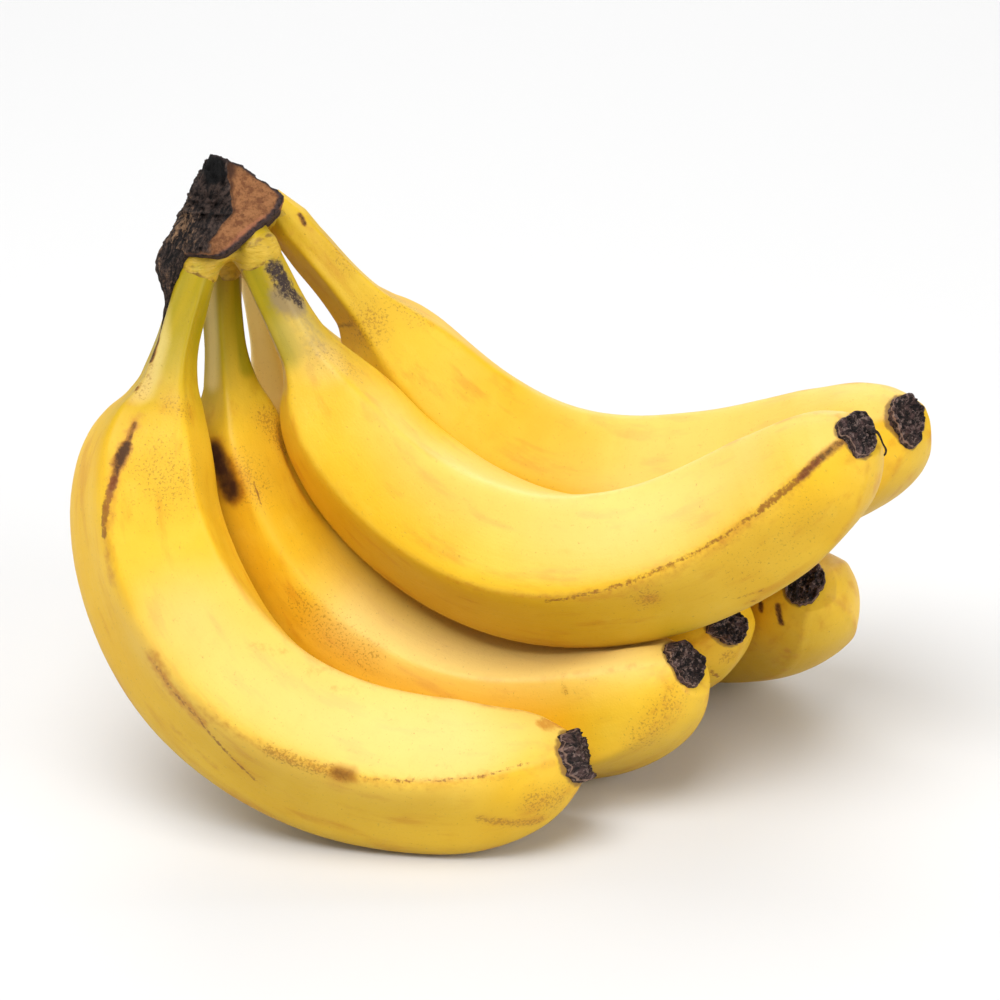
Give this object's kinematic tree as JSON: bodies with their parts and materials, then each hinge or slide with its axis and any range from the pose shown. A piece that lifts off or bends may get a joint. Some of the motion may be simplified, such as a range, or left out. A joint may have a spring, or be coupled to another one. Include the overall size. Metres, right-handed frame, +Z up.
{
  "type": "bunch of bananas",
  "caption": "Hand of ripe bananas joined at a cut crown, resting on the bellies of its lower fingers, with dried blossom ends.",
  "frame": {"origin": "on the resting plane, under the centre of the bounding box", "axes": "+Z up; +X along the longest extent, with the crown at -X and the blossom ends at +X; +Y towards the back fingers"},
  "size_m": [0.2068, 0.1433, 0.1474],
  "materials": {
    "peel": "ripe banana peel, waxy and satin, with brown sugar spots and green stems",
    "dried_blossom": "dried plant fibre, rough and dark",
    "crown": "cut and dried crown, fibrous, black to tan, with a green-yellow cushion"
  },
  "bodies": {
    "root": {"crown": "crown", "finger_lower_front": "peel", "finger_lower_second": "peel", "finger_lower_third": "peel", "finger_lower_back": "peel", "finger_upper_front": "peel", "finger_upper_back": "peel", "blossom_end_lower_front": "dried_blossom", "blossom_end_lower_second": "dried_blossom", "blossom_end_lower_third": "dried_blossom", "blossom_end_lower_back": "dried_blossom", "blossom_end_upper_front": "dried_blossom", "blossom_end_upper_back": "dried_blossom"}
  },
  "joints": []
}
